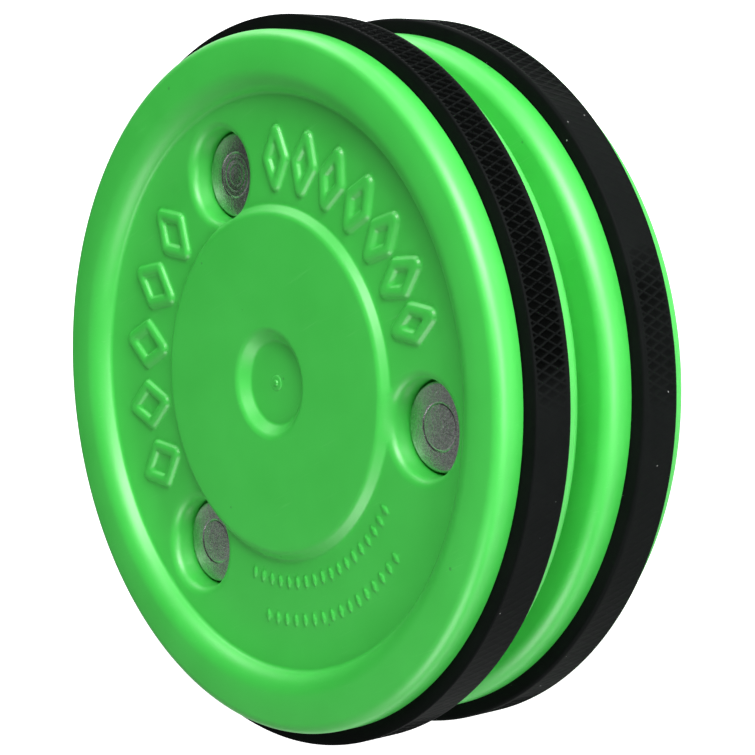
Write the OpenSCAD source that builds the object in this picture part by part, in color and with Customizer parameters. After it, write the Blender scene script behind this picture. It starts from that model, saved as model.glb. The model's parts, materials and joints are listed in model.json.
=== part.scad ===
// Two-half training puck for hard floors.
// Two identical moulded discs lie back to back, each with a rubber band in its groove.
// Three loose two-piece rivets hold them together with a little play.
// +Z is up, the puck lies flat and the origin is the centre of its bottom.

/* [Puck] */
// Diameter over the rubber bands
puck_d = 76.2; // [75:0.1:78]
// Height from crest to crest
puck_h = 25.4; // [25:0.1:27]
// How far the upper half can lift before the rivets stop it
end_play = 1.0; // [0.4:0.1:1.4]

/* [Disc] */
// Diameter of both flanges of a disc
flange_d = 73; // [72:0.1:73.6]
// Gap between the inner flanges of the two discs
flange_gap = 3.4; // [2.4:0.1:4]
// Height of a disc's inner flange, on the gap side of its groove
inner_flange_h = 3.15; // [2.6:0.05:3.4]
// Diameter at the bottom of the groove
groove_d = 66; // [64:0.5:67]
// Rounding of a disc's inner flange, on its gap side
flange_round = 1.5; // [0.6:0.1:1.6]
// Rounding of its outer flange, on the face side
crest_round = 1.2; // [0.6:0.1:1.4]
// Diameter at which the flat crest and the wall inside it would meet
shoulder_d = 62; // [62:0.1:63]
// Rounding of the shoulder between them
shoulder_round = 2.6; // [0.5:0.1:2.6]
// Diameter at the foot of that wall
wall_foot_d = 60.3; // [60:0.1:60.4]
// Height of the wall's foot over the middle of the channel
foot_rise = 0.45; // [0.3:0.05:0.6]
// Hollow rounding between the wall and the channel
foot_round = 0.6; // [0.3:0.1:0.6]
// Depth of the channel below the crest
channel_depth = 2.35; // [2.2:0.05:2.6]
// Diameter of the raised middle at its foot
plateau_d = 37.2; // [36.6:0.1:37.6]
// Height of the raised middle over the channel
plateau_h = 0.9; // [0.8:0.1:1.2]
// Rounding of the raised middle's edge
plateau_round = 0.8; // [0.4:0.1:0.9]
// Diameter of the dimple at its mouth
dimple_d = 11.2; // [10.4:0.1:12]
// Depth of the dimple below the raised middle
dimple_depth = 1.15; // [1:0.05:1.4]
// Rounding of the dimple's lip
dimple_round = 1; // [0.4:0.1:1.1]
// Diameter of the flat face on which the two discs bear
meet_d = 56; // [54:0.5:60]

/* [Band] */
// Height of a band along the axis
band_h = 4.7; // [4:0.1:4.8]
// Bevel on the outer side of a band
band_bevel = 0.25; // [0.1:0.05:0.4]
// Bevel on the gap side of a band
band_inner_bevel = 0.6; // [0.3:0.05:0.9]

/* [Rivets] */
// Radius of the circle that the rivets stand on
rivet_circle_r = 23.5; // [23:0.1:24]
// Diameter of a rivet's head
head_d = 9; // [8.4:0.1:9]
// Thickness of a head
head_t = 1.4; // [1:0.1:1.8]
// Diameter of the shank
shank_d = 4.8; // [4.4:0.1:5]
// Diameter of the pin's reduced end, pressed into the sleeve
pin_d = 3.2; // [2.8:0.1:3.4]
// Clearance round the shank, on the radius
shank_clear = 0.1; // [0.05:0.01:0.1]
// Diameter of a pocket at its floor
pocket_floor_d = 9.5; // [9.4:0.1:9.8]
// Diameter of a pocket at its mouth
pocket_mouth_d = 10; // [9.9:0.1:10.4]
// Depth of a pocket below the channel
pocket_depth = 3.55; // [3.2:0.05:4]

/* [Relief] */
// Height of the raised lozenge rings over the channel
ring_h = 0.45; // [0.2:0.05:0.6]
// Length of a lozenge ring along the radius
ring_l = 9; // [7:0.1:9.2]
// Width of each ring in the row of seven
narrow_w = 4.4; // [3.6:0.1:4.4]
// Width of each ring in the row of five
wide_w = 5.8; // [5:0.1:6.2]
// Width of the raised stroke that forms a ring
stroke_w = 1.2; // [0.8:0.05:1.2]
// Height of the small raised marks
mark_h = 0.15; // [0.1:0.05:0.3]

/* [Hidden] */
$fn = 96;

// Heights of one half are counted from the plane where the two discs meet
mid_z = puck_h / 2;
crest_z = puck_h / 2;
gap_z = flange_gap / 2;
groove_lo_z = gap_z + inner_flange_h;
groove_hi_z = groove_lo_z + band_h;
channel_z = crest_z - channel_depth;
plateau_z = channel_z + plateau_h;
dimple_z = plateau_z - dimple_depth;
pocket_z = channel_z - pocket_depth;
flange_r = flange_d / 2;
meet_slope = 1.2;                         // run of the slope from the bearing face to the gap
plateau_slope = 0.8;                      // run of the slope at the raised middle's edge
dimple_slope = 1.2;                       // run of the dimple's wall
foot_fillet = 0.4;                        // hollow rounding at the foot of those two
channel_r = 27.7;                         // radius where the channel's floor starts to rise
channel_round = 24;                       // rounding there
root = 1.5;                               // how deep the relief is rooted in the disc
gate_d = 1.6;                             // mark of the moulding gate
gate_h = 0.2;
eps = 0.01;
dish_d = 4.8;                             // shallow dish in the middle of each head
dish_depth = 0.12;
shoulder_l = 1.6;                         // full-size part of the pin under its head
rivet_angles = [90, 210, 330];
grip = 2 * pocket_z + end_play;           // between the undersides of a rivet's heads
ring_r = 23.4;                            // middle of the two rows of rings
mark_size = [1.7, 0.8];                   // small mark along and across the radius

function unit(v) = v / norm(v);

// Arc of radius r that rounds the corner b between the straight runs from a and to c
function fillet(a, b, c, r, n = 6) =
    let (
        u = unit(a - b), v = unit(c - b), half = acos(u * v) / 2,
        m = b + unit(u + v) * r / sin(half),
        p = b + u * r / tan(half) - m, q = b + v * r / tan(half) - m,
        a0 = atan2(p.y, p.x), turn = atan2(q.y, q.x) - a0,
        d = turn > 180 ? turn - 360 : turn < -180 ? turn + 360 : turn
    )
    [for (i = [0 : n]) m + r * [cos(a0 + d * i / n), sin(a0 + d * i / n)]];

// An outline from its corners [x, y, rounding]
function rounded(corners) =
    let (count = len(corners), xy = [for (k = corners) [k.x, k.y]])
    [for (i = [0 : count - 1])
        each corners[i][2] == 0 ? [xy[i]]
            : fillet(xy[(i + count - 1) % count], xy[i], xy[(i + 1) % count], corners[i][2])];

// Half section of one disc, axis at x = 0, meeting plane at y = 0
disc_corners = [
    [0, 0, 0],
    [meet_d / 2, 0, 0],
    [meet_d / 2 + meet_slope, gap_z, 0],
    [flange_r, gap_z, flange_round],
    [flange_r, groove_lo_z, 0],
    [groove_d / 2, groove_lo_z, 0],
    [groove_d / 2, groove_hi_z, 0],
    [flange_r, groove_hi_z, 0],
    [flange_r, crest_z, crest_round],
    [shoulder_d / 2, crest_z, shoulder_round],
    [wall_foot_d / 2, channel_z + foot_rise, foot_round],
    [channel_r, channel_z, channel_round],
    [plateau_d / 2, channel_z, foot_fillet],
    [plateau_d / 2 - plateau_slope, plateau_z, plateau_round],
    [dimple_d / 2, plateau_z, dimple_round],
    [dimple_d / 2 - dimple_slope, dimple_z, foot_fillet],
    [0, dimple_z, 0]
];

// One place per rivet
module at_rivet(i) rotate([0, 0, rivet_angles[i]]) translate([rivet_circle_r, 0, 0]) children();

// A lozenge outline, l along the radius and w across it
module lozenge(l, w) polygon([[l / 2, 0], [0, w / 2], [-l / 2, 0], [0, -w / 2]]);

// A lozenge with an open middle
module lozenge_ring(l, w) {
    inscribed_r = l * w / (2 * norm([l, w]));
    difference() {
        lozenge(l, w);
        scale(1 - stroke_w / inscribed_r) lozenge(l, w);
    }
}

// Spreads count copies along the channel at radius r, h high over its floor
module row(r, centre, count, step, h) {
    for (i = [0 : count - 1])
        rotate([0, 0, centre + (i - (count - 1) / 2) * step])
            translate([r, 0, channel_z - root])
                linear_extrude(root + h)
                    children();
}

// One moulded disc, standing on its meeting plane
module half_disc() {
    difference() {
        union() {
            rotate_extrude() polygon(rounded(disc_corners));
            row(ring_r, 30, 7, 11.6, ring_h) lozenge_ring(ring_l, narrow_w);
            row(ring_r, 150, 5, 16.8, ring_h) lozenge_ring(ring_l, wide_w);
            row(20.9, 270, 18, 4, mark_h) lozenge(mark_size.x, mark_size.y);
            row(24.9, 270, 16, 3.6, mark_h) lozenge(mark_size.x, mark_size.y);
            translate([0, 0, dimple_z - root]) cylinder(d = gate_d, h = root + gate_h);
        }
        for (i = [0 : 2]) at_rivet(i) {
            translate([0, 0, -1]) cylinder(r = shank_d / 2 + shank_clear, h = puck_h);
            translate([0, 0, pocket_z])
                cylinder(d1 = pocket_floor_d, d2 = pocket_mouth_d, h = pocket_depth);
            translate([0, 0, pocket_z + pocket_depth - eps]) cylinder(d = pocket_mouth_d, h = 3);
        }
    }
}

// One rubber band in its groove, on the same meeting plane
module half_band() {
    rotate_extrude()
        polygon([
            [groove_d / 2, groove_lo_z],
            [puck_d / 2 - band_inner_bevel, groove_lo_z],
            [puck_d / 2, groove_lo_z + band_inner_bevel],
            [puck_d / 2, groove_hi_z - band_bevel],
            [puck_d / 2 - band_bevel, groove_hi_z],
            [groove_d / 2, groove_hi_z]
        ]);
}

// Head with a shallow dish, its underside at z = 0
module head() {
    difference() {
        cylinder(d = head_d, h = head_t);
        translate([0, 0, head_t - dish_depth]) cylinder(d = dish_d, h = 1);
    }
}

// Tubular half of a rivet, its head's underside at z = 0 and its barrel down
module sleeve() {
    barrel = grip - shoulder_l;
    difference() {
        union() {
            head();
            translate([0, 0, -barrel]) cylinder(d = shank_d, h = barrel + eps);
        }
        translate([0, 0, -barrel - eps]) cylinder(d = pin_d, h = barrel + eps);
    }
}

// Solid half of a rivet, in the same place, its head at the far end
module pin() {
    translate([0, 0, -grip]) rotate([0, 180, 0]) head();
    translate([0, 0, -grip - eps]) cylinder(d = shank_d, h = shoulder_l + eps);
    translate([0, 0, -grip]) cylinder(d = pin_d, h = grip - 0.5);
}

// Puts a rivet in its holes, resting on the upper pocket.
// The first is entered from above and the other two from below.
module in_holes(i) {
    translate([0, 0, mid_z])
        at_rivet(i)
            if (i == 0) translate([0, 0, pocket_z]) children();
            else translate([0, 0, pocket_z - grip]) rotate([0, 180, 0]) children();
}

// The puck's own pieces

module lower_disc() { color("limegreen") translate([0, 0, mid_z]) rotate([0, 180, 0]) half_disc(); }
module lower_band() { color("dimgray") translate([0, 0, mid_z]) rotate([0, 180, 0]) half_band(); }
module upper_disc() { color("limegreen") translate([0, 0, mid_z]) half_disc(); }
module upper_band() { color("dimgray") translate([0, 0, mid_z]) half_band(); }
module rivet_sleeve_1() { color("silver") in_holes(0) sleeve(); }
module rivet_pin_1() { color("gray") in_holes(0) pin(); }
module rivet_sleeve_2() { color("silver") in_holes(1) sleeve(); }
module rivet_pin_2() { color("gray") in_holes(1) pin(); }
module rivet_sleeve_3() { color("silver") in_holes(2) sleeve(); }
module rivet_pin_3() { color("gray") in_holes(2) pin(); }

lower_disc();
lower_band();
upper_disc();
upper_band();
rivet_sleeve_1();
rivet_pin_1();
rivet_sleeve_2();
rivet_pin_2();
rivet_sleeve_3();
rivet_pin_3();
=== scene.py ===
"""Two-half floor puck: green moulded discs, knurled rubber bands and loose steel rivets."""
import json
import math

import bpy
from mathutils import Matrix, Vector, geometry, noise


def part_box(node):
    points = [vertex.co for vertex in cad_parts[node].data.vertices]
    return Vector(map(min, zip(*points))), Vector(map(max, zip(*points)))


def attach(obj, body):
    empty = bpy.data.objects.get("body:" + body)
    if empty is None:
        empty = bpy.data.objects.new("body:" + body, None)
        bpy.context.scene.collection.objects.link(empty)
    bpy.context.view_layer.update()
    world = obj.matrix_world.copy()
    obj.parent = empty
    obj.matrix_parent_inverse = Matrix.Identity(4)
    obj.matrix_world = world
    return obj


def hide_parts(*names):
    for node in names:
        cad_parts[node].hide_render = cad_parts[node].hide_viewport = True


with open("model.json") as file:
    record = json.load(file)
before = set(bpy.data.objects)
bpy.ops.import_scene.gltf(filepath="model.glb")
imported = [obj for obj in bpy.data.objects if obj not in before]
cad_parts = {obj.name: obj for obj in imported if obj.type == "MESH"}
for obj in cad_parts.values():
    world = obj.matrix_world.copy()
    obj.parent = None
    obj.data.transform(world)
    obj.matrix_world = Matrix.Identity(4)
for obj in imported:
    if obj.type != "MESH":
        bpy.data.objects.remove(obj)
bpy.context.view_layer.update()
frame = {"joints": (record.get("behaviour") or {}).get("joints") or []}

# ---------------------------------------------------------------- sizes from the frame, in mm

MM = 0.001
disc_low, disc_high = (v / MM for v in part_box("upper_disc"))
band_low, band_high = (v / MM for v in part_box("upper_band"))
MID = disc_low.z                          # plane where the two discs meet
CREST = disc_high.z - MID                 # heights of one half are counted from that plane
FLANGE_R = disc_high.x
BAND_R = band_high.x
GROOVE_LO = band_low.z - MID
GROOVE_HI = band_high.z - MID
RIVETS = [Vector([x / MM for x in j["pos_m"]]) for j in frame["joints"] if j["type"] == "hinge"]
HEADS = [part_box(f"rivet_sleeve_{i + 1}") for i in range(len(RIVETS))]
HEAD_R = (HEADS[0][1].x - HEADS[0][0].x) / 2 / MM
SLEEVE_TOP = HEADS[0][1].z / MM - MID     # face of the head that lies in the upper pocket

# ---------------------------------------------------------------- sizes of the moulding, in mm

GAP = 1.7                                 # half the gap between the inner flanges
GROOVE_R = 33.0
CHANNEL = CREST - 2.35
PLATEAU = CHANNEL + 0.9                   # raised middle
DIMPLE = PLATEAU - 1.15
STEPS = 384                               # steps round a disc
PATCH_IN = 16.9                           # the pockets and relief lie between these radii
PATCH_OUT = 29.7

POCKET = CHANNEL - 3.55                   # floor of a pocket
POCKET_R = 4.85
POCKET_DRAFT = 0.12                       # how much narrower a pocket is at its foot
POCKET_FOOT = 0.3                         # where its wall starts to round into its floor
LIP = 1.0                                 # rounding of its mouth
HOLE_R = 2.5
HOLE_BEVEL = 0.15
POCKET_STEPS = 96

RING_H = 0.45                             # large raised lozenge rings
STROKE = 1.34
RING_ROW_R = 23.4
RING_ROWS = [(30, 7, 11.6, 9.0, 4.5), (150, 5, 16.8, 9.0, 5.9)]    # middle, count, step, length, width
MARK_H = 0.15                             # small raised lozenges
MARK_SIZE = (1.7, 0.8)
MARK_ROWS = [(20.9, 18, 4.0), (24.9, 16, 3.6)]                     # radius, count, step
MARK_MIDDLE = 270

HEAD_T = 1.4
SEAT = 0.02                               # hair gap under a head
SHANK_R = 2.4
SHOULDER = 1.6                            # full-size part of a solid half, under its head
BORE_R = 1.6
PIN_R = 1.58
END_PLAY = 1.0                            # how far the halves can part

DIAMONDS = 214                            # pits round a band
DIAMOND_H = 2.26
DIAMOND_DEPTH = 0.26
DIAMOND_GRID = 4                          # grid steps from a pit's middle to a crossing
BAND_SEAT = 0.03                          # hair gap between a band and the flanges
SKIN = 0.01                               # how far a tread stays inside the band's full radius

# middle and half width, in degrees, of the stretches where a band's net is rubbed away
RUBBED = {"upper": [(-52, 27), (120, 20)], "lower": [(234, 27), (168, 11), (20, 25)]}

# name, azimuth, elevation, distance and size in metres, watts
LIGHTS = [
    ("right_low", 22, 15, 0.5, (0.25, 0.2), 2.05),
    ("near_low", -20, 8, 0.5, (0.25, 0.25), 1.4),
    ("back_low", 100, 10, 0.5, (0.25, 0.25), 0.95),
    ("right_high", 30, 34, 0.5, (0.2, 0.2), 1.85),
    ("far_high", 215, 40, 0.8, (1.2, 1.2), 1.2),
    ("near_high", -100, 30, 0.5, (0.25, 0.25), 1.1),
]


# ---------------------------------------------------------------- outlines

def rounded(corners, closed=False, pieces=8):
    """Points along an outline given by its corners (x, y, rounding)."""
    points = []
    count = len(corners)
    for i, (x, y, radius) in enumerate(corners):
        here = Vector((x, y))
        if not radius or (not closed and i in (0, count - 1)):
            points.append(here)
            continue
        back = (Vector(corners[i - 1][:2]) - here).normalized()
        on = (Vector(corners[(i + 1) % count][:2]) - here).normalized()
        half = back.angle(on) / 2
        centre = here + (back + on).normalized() * radius / math.sin(half)
        first = here + back * radius / math.tan(half) - centre
        final = here + on * radius / math.tan(half) - centre
        a0 = math.atan2(first.y, first.x)
        turn = math.remainder(math.atan2(final.y, final.x) - a0, math.tau)
        for k in range(pieces + 1):
            a = a0 + turn * k / pieces
            points.append(centre + radius * Vector((math.cos(a), math.sin(a))))
    return points


def spaced(points, step):
    """A closed outline walked in equal steps."""
    ends = list(zip(points, points[1:] + points[:1]))
    total = sum((b - a).length for a, b in ends)
    count = max(8, round(total / step))
    out, travelled, target = [], 0.0, 0.0
    for a, b in ends:
        run = (b - a).length
        while target < travelled + run and len(out) < count:
            out.append(a.lerp(b, (target - travelled) / run))
            target += total / count
        travelled += run
    return out


def lozenge(length, width, offset, radius):
    """A rounded lozenge, moved outwards by offset."""
    inscribed = length * width / (2 * math.hypot(length, width))
    k = (inscribed + offset) / inscribed / 2
    tips = [(length * k, 0), (0, width * k), (-length * k, 0), (0, -width * k)]
    return rounded([(x, y, radius) for x, y in tips], closed=True, pieces=5)


# ---------------------------------------------------------------- shells

class Shell:
    """Points and faces of one closed piece, in mm."""

    def __init__(self):
        self.points = []
        self.faces = []
        self.pits = []                    # how deep each of the first points lies in a pit

    def loop(self, points):
        start = len(self.points)
        self.points += [Vector(p) for p in points]
        return list(range(start, len(self.points)))

    def ring(self, radius, z, steps, centre=(0, 0)):
        turns = [math.tau * k / steps for k in range(steps)]
        return self.loop([(centre[0] + radius * math.cos(a), centre[1] + radius * math.sin(a), z)
                          for a in turns])

    def bridge(self, a, b):
        """Quads from loop a to loop b, facing outwards when b lies further along the outline."""
        count = len(a)
        for k in range(count):
            n = (k + 1) % count
            self.faces.append((a[k], b[k], b[n], a[n]))

    def fan(self, centre, ring):
        middle = self.loop([centre])[0]
        for k, i in enumerate(ring):
            self.faces.append((middle, i, ring[(k + 1) % len(ring)]))

    def patch(self, loops, inside=(), contours=(), up=True):
        """Triangles between the closed loops, through the inside points and along the contours.
        The first loop is the border and the others are holes."""
        ids = [i for ring in [*loops, *contours] for i in ring] + list(inside)
        edges, start = [], 0
        for ring in [*loops, *contours]:
            count = len(ring)
            edges += [(start + k, start + (k + 1) % count) for k in range(count)]
            start += count
        flat = [self.points[i].xy for i in ids]
        made = geometry.delaunay_2d_cdt(flat, edges, [], 0, 1e-7)
        source = [ids[o[0]] for o in made[3]]
        holes = [set(ring) for ring in loops[1:]]
        for face in made[2]:
            corners = [source[v] for v in face]
            if any(hole.issuperset(corners) for hole in holes):
                continue
            self.faces.append(corners if up else corners[::-1])

    def build(self, name, turned=False):
        """The mesh object, in metres, in its place. The lower half is turned over about Y."""
        mesh = bpy.data.meshes.new(name)
        mesh.from_pydata([p * MM for p in self.points], [], self.faces)
        place = Matrix.Translation((0, 0, MID * MM))
        if turned:
            place = place @ Matrix.Rotation(math.pi, 4, "Y")
        mesh.transform(place)
        mesh.shade_smooth()
        if self.pits:
            depths = self.pits + [0.0] * (len(self.points) - len(self.pits))
            mesh.attributes.new("pit", "FLOAT", "POINT").data.foreach_set("value", depths)
        obj = bpy.data.objects.new(name, mesh)
        bpy.context.scene.collection.objects.link(obj)
        return obj


# ---------------------------------------------------------------- the moulded disc

def top_outline():
    """Half section of the visible face, from the axis out to the groove's edge."""
    return rounded([
        (0.0, DIMPLE + 0.26, 0),
        (0.26, DIMPLE + 0.24, 0.08),
        (0.34, DIMPLE + 0.1, 0.05),
        (0.72, DIMPLE + 0.1, 0.06),
        (0.86, DIMPLE, 0.05),
        (4.4, DIMPLE, 0.5),
        (5.6, PLATEAU, 1.1),
        (17.8, PLATEAU, 0.85),
        (18.6, CHANNEL, 0.4),
        (27.7, CHANNEL, 24.0),
        (30.15, CHANNEL + 0.45, 0.55),
        (31.0, CREST - 0.04, 2.55),
        (33.6, CREST, 12.0),
        (FLANGE_R, CREST - 0.07, 1.25),
        (FLANGE_R, GROOVE_HI + 0.06, 0.1),
        (FLANGE_R - 0.1, GROOVE_HI, 0),
    ])


def side_outline():
    """The rest of the section: groove, inner flange and gap, in to the bearing face."""
    return rounded([
        (FLANGE_R - 0.1, GROOVE_HI, 0),
        (GROOVE_R, GROOVE_HI, 0.2),
        (GROOVE_R, GROOVE_LO, 0.2),
        (FLANGE_R, GROOVE_LO, 0.12),
        (FLANGE_R, GAP, 1.5),
        (29.2, GAP, 0.8),
        (28.0, 0.0, 0.2),
        (27.5, 0.0, 0),
    ])


def height(outline, r):
    """Height of the face at radius r."""
    for a, b in zip(outline, outline[1:]):
        if a.x <= r <= b.x and b.x > a.x:
            return a.y + (b.y - a.y) * (r - a.x) / (b.x - a.x)
    return outline[-1].y


def relief():
    """Every raised motif as (radius, turn, contours); a contour is (outline, height).
    A motif's edge rises in a few steps, each an offset from its outline and a height."""
    edge = [(0.16, 0.0), (0.05, 0.04), (-0.06, 0.16), (-0.17, 0.31), (-0.32, 0.41)]
    for middle, count, step, length, width in RING_ROWS:
        outer = [(lozenge(length, width, d, max(0.2, 0.85 + d)), h) for d, h in edge]
        crown = [(lozenge(length, width, -STROKE / 2, 0.14), RING_H)]
        inner = [(lozenge(length, width, -STROKE - d, 0.22), h) for d, h in reversed(edge)]
        for i in range(count):
            turn = math.radians(middle + (i - (count - 1) / 2) * step)
            yield RING_ROW_R, turn, [(spaced(o, 0.24), h) for o, h in outer + crown + inner]
    edge = [(0.08, 0.0), (-0.02, 0.06), (-0.12, MARK_H)]
    for radius, count, step in MARK_ROWS:
        levels = [(spaced(lozenge(*MARK_SIZE, d, max(0.04, 0.16 + d)), 0.2), h) for d, h in edge]
        for i in range(count):
            turn = math.radians(MARK_MIDDLE + (i - (count - 1) / 2) * step)
            yield radius, turn, levels


def in_outline(p, outline):
    """True if p lies inside a closed outline that turns anticlockwise."""
    return all((b - a).cross(p - a) > 0 for a, b in zip(outline, outline[1:] + outline[:1]))


def disc(name, turned):
    """One moulding: lathe rings, and between them a patch that the pockets and relief cut."""
    shell = Shell()
    top = top_outline()

    # lathe rings inside the patch, from the axis out
    inner = [p for p in top if p.x <= PATCH_IN]
    rings = [shell.ring(p.x, p.y, STEPS) for p in inner if p.x > 0]
    shell.fan((0, 0, inner[0].y), rings[0])
    rings.append(shell.ring(PATCH_IN, height(top, PATCH_IN), STEPS))
    for a, b in zip(rings, rings[1:]):
        shell.bridge(a, b)
    patch_in = rings[-1]

    # lathe rings outside it, out over the crest, round the groove and back in underneath
    patch_out = shell.ring(PATCH_OUT, height(top, PATCH_OUT), STEPS)
    outer = [p for p in top if p.x > PATCH_OUT] + side_outline()[1:]
    last = patch_out
    for p in outer:
        ring = shell.ring(p.x, p.y, STEPS)
        shell.bridge(last, ring)
        last = ring
    under = last

    # pockets, down to the bearing face
    pocket_tops, pocket_feet, inside = [], [], []
    for place in RIVETS:
        centre = (place.x, place.y)
        for k in range(7):
            a = math.radians(15 * k)
            rho, drop = POCKET_R + LIP * (1 - math.cos(a)), LIP * (1 - math.sin(a))
            ring = shell.ring(rho, 0, POCKET_STEPS, centre)
            for i in ring:
                shell.points[i].z = height(top, shell.points[i].xy.length) - drop
            if k == 0:
                pocket_tops.append(ring)
            else:
                inside += ring
        wall = pocket_tops[-1]
        for share in (0.3, 0.6, 0.85):
            ring = shell.ring(POCKET_R - POCKET_DRAFT * share, 0, POCKET_STEPS, centre)
            for i, j in zip(ring, pocket_tops[-1]):
                shell.points[i].z = shell.points[j].z * (1 - share) + (POCKET + POCKET_FOOT) * share
            shell.bridge(ring, wall)
            wall = ring
        foot = rounded([
            (POCKET_R - POCKET_DRAFT, POCKET + POCKET_FOOT, 0),
            (POCKET_R - POCKET_DRAFT - 0.02, POCKET, 0.25),
            (HOLE_R + HOLE_BEVEL, POCKET, 0),
            (HOLE_R, POCKET - HOLE_BEVEL, 0),
            (HOLE_R, HOLE_BEVEL, 0),
            (HOLE_R + HOLE_BEVEL, 0, 0),
        ], pieces=4)
        for p in foot:
            ring = shell.ring(p.x, p.y, POCKET_STEPS, centre)
            shell.bridge(ring, wall)
            wall = ring
        pocket_feet.append(wall)

    # raised motifs, as contours on the channel's floor
    contours, outlines = [], []
    for radius, turn, levels in relief():
        spin = Matrix.Rotation(turn, 2)
        middle = Vector((radius, 0))
        for k, (outline, h) in enumerate(levels):
            flat = [spin @ (p + middle) for p in outline]
            if k == 0:
                outlines.append((spin @ middle, flat))
            contours.append(shell.loop([(p.x, p.y, height(top, p.length) + h) for p in flat]))

    # rings of loose points over the rest of the patch
    curved = [p.x for p in top if PATCH_IN + 0.1 < p.x < 25.0 or 29.3 < p.x < PATCH_OUT - 0.1]
    plain = [18.95 + 0.42 * k for k in range(25)]
    clear = POCKET_R + LIP + 0.15
    for r in sorted(curved + plain):
        for k in range(STEPS):
            a = math.tau * (k + 0.5 * (round(r * 10) % 2)) / STEPS
            p = Vector((r * math.cos(a), r * math.sin(a)))
            if any((p - c.xy).length < clear for c in RIVETS):
                continue
            if any((p - m).length < 5.2 and in_outline(p, o) for m, o in outlines):
                continue
            inside.append(shell.loop([(p.x, p.y, height(top, r))])[0])
    shell.patch([patch_out, patch_in, *pocket_tops], inside, contours)
    shell.patch([under, *pocket_feet], up=False)
    return shell.build(name, turned)


# ---------------------------------------------------------------- the rubber band

def rubbed(degrees, zones):
    """How much of the net is left at a place on the band: 0 where it is rubbed smooth, else 1."""
    left = 1.0
    for middle, half in zones:
        off = abs((degrees - middle + 180) % 360 - 180)
        left = min(left, max(0.0, min(1.0, (off - half) / 9)))
    return left


def band(name, turned, zones):
    """A ring whose tread carries a net of ridges round diamond-shaped pits, rubbed in zones."""
    shell = Shell()
    across = DIAMOND_GRID
    steps = DIAMONDS * 2 * across
    row_h = DIAMOND_H / (2 * across)
    pit_z = GROOVE_HI - 1.08              # middle of the first row of pits
    rise = {across: 0.0, across - 1: 0.7}
    low, high = GROOVE_LO + 0.36, GROOVE_HI - 0.2
    rows = int((high - low) / row_h)
    low = high - rows * row_h

    def tread(i, j):
        z = high - j * row_h
        column = abs((i + across) % (2 * across) - across)
        line = abs(round((z - pit_z) / row_h) % (2 * across))
        line = min(line, 2 * across - line)
        s = column + line
        s = min(s, 2 * across - s)
        a = math.tau * i / steps
        fade = min(1.0, (high - z) / 0.3, (z - low) / 0.3)
        patchy = noise.noise(Vector((math.cos(a) * 2.2, math.sin(a) * 2.2, z * 0.08)))
        worn = (0.9 + 0.8 * patchy) * rubbed(math.degrees(a), zones)
        pit = rise.get(s, 1.0) * max(0.0, fade) * max(0.08, min(1.0, worn))
        shell.pits.append(pit)
        r = BAND_R - SKIN - DIAMOND_DEPTH * pit
        return r * math.cos(a), r * math.sin(a), z

    grid = [shell.loop([tread(i, j) for i in range(steps)]) for j in range(rows + 1)]
    for j in range(rows):
        for i in range(steps):
            n = (i + 1) % steps
            quad = (grid[j][i], grid[j + 1][i], grid[j + 1][n], grid[j][n])
            heights = [shell.points[k].xy.length for k in quad]
            if abs(heights[0] - heights[2]) < abs(heights[1] - heights[3]):
                shell.faces += [(quad[0], quad[1], quad[2]), (quad[0], quad[2], quad[3])]
            else:
                shell.faces += [(quad[0], quad[1], quad[3]), (quad[1], quad[2], quad[3])]
    floor_z, top_z, edge_r = GROOVE_LO + BAND_SEAT, GROOVE_HI - BAND_SEAT, BAND_R - SKIN
    lower = rounded([(edge_r, low, 0), (edge_r, floor_z, 0.34), (GROOVE_R, floor_z, 0)], pieces=5)
    upper = rounded([(GROOVE_R, top_z, 0), (edge_r, top_z, 0.16), (edge_r, high, 0)], pieces=4)
    last = grid[-1]
    for p in lower[1:] + upper[:-1]:
        ring = shell.ring(p.x, p.y, steps)
        shell.bridge(last, ring)
        last = ring
    shell.bridge(last, grid[0])
    return shell.build(name, turned)


# ---------------------------------------------------------------- rivets

def turned_piece(name, corners, pieces=6):
    """A closed solid of revolution about Z, from a half section that runs from top to bottom."""
    mesh = bpy.data.meshes.new(name)
    points = rounded(corners, pieces=pieces)
    mesh.from_pydata([(p.x * MM, 0, p.y * MM) for p in points], [],
                     [(k, k + 1) for k in range(len(points) - 1)])
    obj = bpy.data.objects.new(name, mesh)
    bpy.context.scene.collection.objects.link(obj)
    screw = obj.modifiers.new("turn", "SCREW")
    screw.steps = screw.render_steps = 96
    screw.use_merge_vertices = True
    screw.merge_threshold = 1e-6
    screw.use_smooth_shade = True
    screw.use_normal_flip = True
    bpy.context.view_layer.update()
    done = bpy.data.meshes.new_from_object(obj.evaluated_get(bpy.context.evaluated_depsgraph_get()))
    obj.modifiers.clear()
    obj.data = done
    return obj


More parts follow.
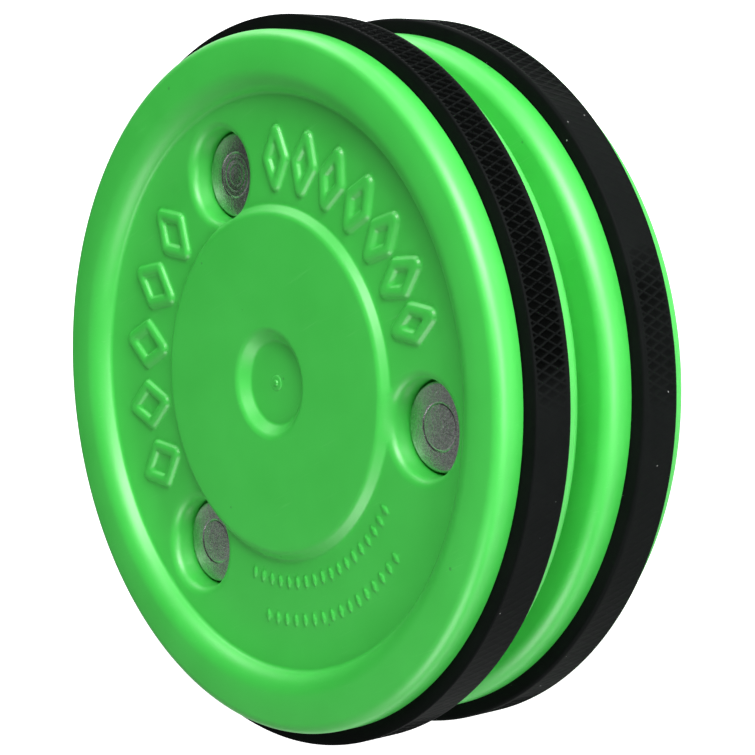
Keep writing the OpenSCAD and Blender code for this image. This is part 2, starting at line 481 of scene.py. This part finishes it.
def rivet(i, place):
    """One rivet: a tubular half and a solid half, ring lines pressed into both heads."""
    under = SLEEVE_TOP - HEAD_T           # underside of the upper head
    grip = 2 * under + END_PLAY           # between the undersides of the two heads
    sleeve = turned_piece(f"rivet_{i + 1}_tubular_half", [
        (0.0, -0.15, 0),
        (0.5, -0.145, 0.2),
        (1.0, -0.11, 0.2),
        (1.2, -0.125, 0.08),
        (1.65, -0.07, 0.2),
        (1.85, -0.085, 0.06),
        (2.26, -0.04, 0.12),
        (2.38, -0.09, 0.03),
        (2.5, -0.01, 0.06),
        (HEAD_R, -0.03, 0.28),
        (HEAD_R, SEAT - HEAD_T, 0.12),
        (SHANK_R, SEAT - HEAD_T, 0.08),
        (SHANK_R, SHOULDER - HEAD_T - grip, 0.05),
        (BORE_R, SHOULDER - HEAD_T - grip, 0),
        (BORE_R, -HEAD_T, 0),
        (0.0, -HEAD_T, 0),
    ])
    pin = turned_piece(f"rivet_{i + 1}_solid_half", [
        (0.0, -0.07, 0),
        (2.22, -0.05, 0.1),
        (2.36, -0.1, 0.03),
        (2.5, -0.02, 0.1),
        (HEAD_R, 0.0, 0.3),
        (HEAD_R, SEAT - HEAD_T, 0.12),
        (SHANK_R, SEAT - HEAD_T, 0.08),
        (SHANK_R, -HEAD_T - SHOULDER, 0.05),
        (PIN_R, -HEAD_T - SHOULDER, 0.05),
        (PIN_R, -HEAD_T - grip + 0.1, 0.3),
        (0.0, -HEAD_T - grip + 0.1, 0),
    ])
    tubular_on_top = i == 0
    spin = Matrix.Rotation(math.radians(50 * i), 4, "Z")
    body = f"rivet_{i + 1}"
    for piece, on_top in ((sleeve, tubular_on_top), (pin, not tubular_on_top)):
        z = SLEEVE_TOP if on_top else under - grip - HEAD_T
        spot = Matrix.Translation(Vector((place.x, place.y, MID + z)) * MM)
        over = Matrix.Rotation(0 if on_top else math.pi, 4, "X")
        piece.data.transform(spot @ spin @ over)
        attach(piece, body)
        piece.data.materials.append(steel)
    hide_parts(f"rivet_sleeve_{i + 1}")
    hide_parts(f"rivet_pin_{i + 1}")


# ---------------------------------------------------------------- finishes

def new_group(name, sockets_in, sockets_out):
    tree = bpy.data.node_groups.new(name, "ShaderNodeTree")
    for label, kind, value in sockets_in:
        socket = tree.interface.new_socket(label, in_out="INPUT", socket_type=kind)
        if value is not None:
            socket.default_value = value
    for label, kind in sockets_out:
        tree.interface.new_socket(label, in_out="OUTPUT", socket_type=kind)
    return tree, tree.nodes.new("NodeGroupInput"), tree.nodes.new("NodeGroupOutput")


def add(tree, kind, inputs=(), **settings):
    """A node with its settings, and its inputs as values or as the sockets they come from."""
    node = tree.nodes.new(kind)
    for key, value in settings.items():
        setattr(node, key, value)
    for key, value in dict(inputs).items():
        if isinstance(value, bpy.types.NodeSocket):
            tree.links.new(value, node.inputs[key])
        else:
            node.inputs[key].default_value = value
    return node


def mul(tree, a, b):
    return add(tree, "ShaderNodeMath", {0: a, 1: b}, operation="MULTIPLY").outputs[0]


def plus(tree, a, b):
    return add(tree, "ShaderNodeMath", {0: a, 1: b}, operation="ADD").outputs[0]


def steps_between(tree, value, low, high, to_low=0.0, to_high=1.0):
    node = add(tree, "ShaderNodeMapRange",
               {0: value, 1: low, 2: high, 3: to_low, 4: to_high}, clamp=True)
    return node.outputs[0]


def dust_group():
    """Sparse bright specks with a rough film between them."""
    tree, start, end = new_group("settled_dust",
                                 [("Vector", "NodeSocketVector", None),
                                  ("Spacing", "NodeSocketFloat", 300.0),
                                  ("Amount", "NodeSocketFloat", 0.3)],
                                 [("Specks", "NodeSocketFloat"), ("Film", "NodeSocketFloat")])
    cells = add(tree, "ShaderNodeTexVoronoi",
                {"Vector": start.outputs[0], "Scale": start.outputs[1], "Randomness": 1.0})
    size = add(tree, "ShaderNodeSeparateColor", {0: cells.outputs["Color"]})
    radius = mul(tree, size.outputs[0], 0.14)
    near = add(tree, "ShaderNodeMath", {0: cells.outputs["Distance"], 1: radius},
               operation="LESS_THAN").outputs[0]
    chosen = add(tree, "ShaderNodeMath", {0: size.outputs[1], 1: start.outputs[2]},
                 operation="LESS_THAN").outputs[0]
    tree.links.new(mul(tree, near, chosen), end.inputs[0])
    film = add(tree, "ShaderNodeTexNoise", {"Vector": start.outputs[0], "Scale": 90.0,
                                            "Detail": 6.0, "Roughness": 0.65})
    tree.links.new(steps_between(tree, film.outputs[0], 0.45, 0.75), end.inputs[1])
    return tree


def grain_group():
    """Fine surface grain with a slower swell under it."""
    tree, start, end = new_group("moulded_grain",
                                 [("Vector", "NodeSocketVector", None),
                                  ("Fine", "NodeSocketFloat", 4000.0),
                                  ("Swell", "NodeSocketFloat", 120.0)],
                                 [("Height", "NodeSocketFloat"), ("Swell", "NodeSocketFloat")])
    fine = add(tree, "ShaderNodeTexNoise", {"Vector": start.outputs[0], "Scale": start.outputs[1],
                                            "Detail": 4.0, "Roughness": 0.6})
    slow = add(tree, "ShaderNodeTexNoise", {"Vector": start.outputs[0], "Scale": start.outputs[2],
                                            "Detail": 2.0, "Roughness": 0.5})
    height_sum = plus(tree, mul(tree, fine.outputs[0], 0.35), slow.outputs[0])
    tree.links.new(height_sum, end.inputs[0])
    tree.links.new(slow.outputs[0], end.inputs[1])
    return tree


def scratch_group():
    """Hairline handling marks that run in a few directions."""
    tree, start, end = new_group("handling_marks",
                                 [("Vector", "NodeSocketVector", None),
                                  ("Scale", "NodeSocketFloat", 200.0)],
                                 [("Mask", "NodeSocketFloat")])
    total = None
    for turn in (0.3, 1.4, 2.5):
        turned = add(tree, "ShaderNodeMapping", {"Vector": start.outputs[0],
                                                 "Rotation": (0.2, 0.1, turn),
                                                 "Scale": (1.0, 30.0, 12.0)})
        lines = add(tree, "ShaderNodeTexNoise", {"Vector": turned.outputs[0],
                                                 "Scale": start.outputs[1],
                                                 "Detail": 2.0, "Roughness": 0.5})
        mask = steps_between(tree, lines.outputs[0], 0.7, 0.76)
        total = mask if total is None else plus(tree, total, mask)
    tree.links.new(add(tree, "ShaderNodeClamp", {0: total}).outputs[0], end.inputs[0])
    return tree


DUST, GRAIN, MARKS = dust_group(), grain_group(), scratch_group()


def use(tree, group, vector, **inputs):
    """A node group placed in a material, with its own values."""
    node = tree.nodes.new("ShaderNodeGroup")
    node.node_tree = group
    tree.links.new(vector, node.inputs["Vector"])
    for key, value in inputs.items():
        node.inputs[key].default_value = value
    return node


def new_material(name, **uniform):
    """A material, its shader with the uniform values set, and its object coordinates."""
    material = bpy.data.materials.new(name)
    material.use_nodes = True
    tree = material.node_tree
    shader = tree.nodes["Principled BSDF"]
    for key, value in uniform.items():
        shader.inputs[key.replace("_", " ")].default_value = value
    place = tree.nodes.new("ShaderNodeTexCoord").outputs["Object"]
    return material, tree, shader, place


def bump(tree, shader, height_socket, strength, distance):
    node = add(tree, "ShaderNodeBump", {"Height": height_socket, "Strength": strength,
                                        "Distance": distance})
    tree.links.new(node.outputs[0], shader.inputs["Normal"])


def mix_colour(tree, share, a, b):
    node = add(tree, "ShaderNodeMix", {0: share, 6: a, 7: b}, data_type="RGBA")
    return node.outputs[2]


def green_moulding():
    material, tree, shader, place = new_material(
        "green_moulding", IOR=1.5, Specular_IOR_Level=0.85, Subsurface_Weight=0.1,
        Subsurface_Scale=0.0008, Subsurface_Radius=(0.5, 1.0, 0.45), Coat_Roughness=0.42)
    grain = use(tree, GRAIN, place, Fine=5200.0, Swell=150.0)
    marks = use(tree, MARKS, place, Scale=160.0)
    dust = use(tree, DUST, place, Spacing=700.0, Amount=0.02)
    tint = steps_between(tree, grain.outputs["Swell"], 0.3, 0.7)
    colour = mix_colour(tree, tint, (0.032, 0.465, 0.046, 1), (0.038, 0.5, 0.054, 1))
    scuffed = mix_colour(tree, mul(tree, marks.outputs[0], 0.18), colour, (0.16, 0.62, 0.18, 1))
    dusty = mix_colour(tree, mul(tree, dust.outputs["Specks"], 0.5), scuffed, (0.02, 0.16, 0.03, 1))
    tree.links.new(dusty, shader.inputs["Base Color"])
    rough = plus(tree, mul(tree, dust.outputs["Film"], 0.06),
                 plus(tree, mul(tree, marks.outputs[0], 0.1), 0.46))
    tree.links.new(rough, shader.inputs["Roughness"])
    coat = steps_between(tree, grain.outputs["Swell"], 0.2, 0.8, 0.3, 0.42)
    tree.links.new(coat, shader.inputs["Coat Weight"])
    bump(tree, shader, grain.outputs["Height"], 0.12, 0.00004)
    return material


def black_rubber(name, roughness, film_tint):
    material, tree, shader, place = new_material(name, IOR=1.5, Specular_IOR_Level=0.02)
    grain = use(tree, GRAIN, place, Fine=7000.0, Swell=400.0)
    dust = use(tree, DUST, place, Spacing=1100.0, Amount=0.1)
    film = mix_colour(tree, mul(tree, dust.outputs["Film"], 0.7), (0.0041, 0.0049, 0.0047, 1), film_tint)
    pit = add(tree, "ShaderNodeAttribute", attribute_name="pit").outputs["Fac"]
    # painted shade: the colour darkens to near black down in the tread's pits, where shade falls, while
    # the raised net between them keeps the dust film's colour
    pit_shaded = mix_colour(tree, steps_between(tree, pit, 0.1, 0.75), film, (0.0004, 0.0006, 0.0005, 1))
    colour = mix_colour(tree, mul(tree, dust.outputs["Specks"], 0.7), pit_shaded, (0.3, 0.31, 0.3, 1))
    tree.links.new(colour, shader.inputs["Base Color"])
    rough = plus(tree, mul(tree, dust.outputs["Film"], 0.16),
                 steps_between(tree, pit, 0.1, 0.75, roughness, roughness + 0.3))
    tree.links.new(rough, shader.inputs["Roughness"])
    bump(tree, shader, grain.outputs["Height"], 0.35, 0.00003)
    return material


def dull_steel():
    material, tree, shader, place = new_material("dull_steel", Metallic=1.0)
    grain = use(tree, GRAIN, place, Fine=16000.0, Swell=4200.0)
    marks = use(tree, MARKS, place, Scale=700.0)
    tint = steps_between(tree, grain.outputs["Swell"], 0.34, 0.66)
    colour = mix_colour(tree, tint, (0.44, 0.44, 0.45, 1), (0.62, 0.615, 0.625, 1))
    worn = mix_colour(tree, mul(tree, marks.outputs[0], 0.5), colour, (0.66, 0.66, 0.67, 1))
    tree.links.new(worn, shader.inputs["Base Color"])
    rough = plus(tree, steps_between(tree, grain.outputs["Swell"], 0.2, 0.8, 0.2, 0.28),
                 mul(tree, marks.outputs[0], -0.08))
    tree.links.new(rough, shader.inputs["Roughness"])
    bump(tree, shader, grain.outputs["Height"], 0.8, 0.00004)
    return material


def pale_floor():
    material, tree, shader, place = new_material("pale_floor", Specular_IOR_Level=0.1)
    cloud = add(tree, "ShaderNodeTexNoise", {"Vector": place, "Scale": 3.0, "Detail": 2.0})
    tree.links.new(mix_colour(tree, cloud.outputs[0], (0.93, 0.93, 0.93, 1), (0.95, 0.95, 0.95, 1)),
                   shader.inputs["Base Color"])
    shader.inputs["Roughness"].default_value = 0.9
    shader.inputs["Emission Color"].default_value = (1, 1, 1, 1)
    seen = tree.nodes.new("ShaderNodeLightPath").outputs["Is Camera Ray"]
    tree.links.new(mul(tree, seen, 0.86), shader.inputs["Emission Strength"])
    return material


# ---------------------------------------------------------------- camera, light and floor

def set_camera():
    """Long lens, turned on its side so that the puck's axis lies nearly level."""
    data = bpy.data.cameras.new("camera")
    data.lens = 103.0
    data.sensor_width = 36.0
    camera = bpy.data.objects.new("camera", data)
    camera.location = Vector((173.2, -49.0, 159.26)) * MM
    aim = Vector((3.87, -1.55, 12.56)) * MM - camera.location
    roll = Matrix.Rotation(math.radians(-95.47), 4, "Z")
    camera.matrix_world = (Matrix.Translation(camera.location)
                           @ aim.to_track_quat("-Z", "Y").to_matrix().to_4x4() @ roll)
    bpy.context.scene.collection.objects.link(camera)
    bpy.context.scene.camera = camera


def soft_light(name, azimuth, elevation, distance, size, watts):
    data = bpy.data.lights.new(name, "AREA")
    data.shape = "RECTANGLE"
    data.size, data.size_y = size
    data.energy = watts
    light = bpy.data.objects.new(name, data)
    a, e = math.radians(azimuth), math.radians(elevation)
    back = Vector((math.cos(a) * math.cos(e), math.sin(a) * math.cos(e), math.sin(e)))
    light.location = Vector((0, 0, 0.012)) + back * distance
    light.rotation_euler = (-back).to_track_quat("-Z", "Y").to_euler()
    bpy.context.scene.collection.objects.link(light)


def set_stage():
    world = bpy.data.worlds.new("soft_room")
    world.use_nodes = True
    tree = world.node_tree
    seen = tree.nodes.new("ShaderNodeLightPath").outputs["Is Camera Ray"]
    background = tree.nodes["Background"]
    background.inputs["Color"].default_value = (1, 1, 1, 1)
    # the room lights the puck faintly, but looks as pale as the floor
    tree.links.new(plus(tree, mul(tree, seen, 0.88), 0.04), background.inputs["Strength"])
    bpy.context.scene.world = world
    bpy.context.scene.view_settings.view_transform = "Standard"
    for light in LIGHTS:
        soft_light(*light)
    mesh = bpy.data.meshes.new("floor")
    half = 2.0
    mesh.from_pydata([(-half, -half, 0), (half, -half, 0), (half, half, 0), (-half, half, 0)], [],
                     [(0, 1, 2, 3)])
    mesh.materials.append(pale_floor())
    floor = bpy.data.objects.new("floor", mesh)
    bpy.context.scene.collection.objects.link(floor)


# ---------------------------------------------------------------- making

set_camera()
set_stage()
green = green_moulding()
tread_rubber = black_rubber("tread_rubber", 0.44, (0.0068, 0.0078, 0.0075, 1))
steel = dull_steel()

for half, is_lower in (("upper", False), ("lower", True)):
    moulding = disc(f"{half}_moulding", is_lower)
    moulding.data.materials.append(green)
    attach(moulding, f"{half}_half")
    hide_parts(f"{half}_disc")
    tyre = band(f"{half}_knurled_band", is_lower, RUBBED[half])
    tyre.data.materials.append(tread_rubber)
    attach(tyre, f"{half}_half")
    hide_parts(f"{half}_band")

for index, spot in enumerate(RIVETS):
    rivet(index, spot)
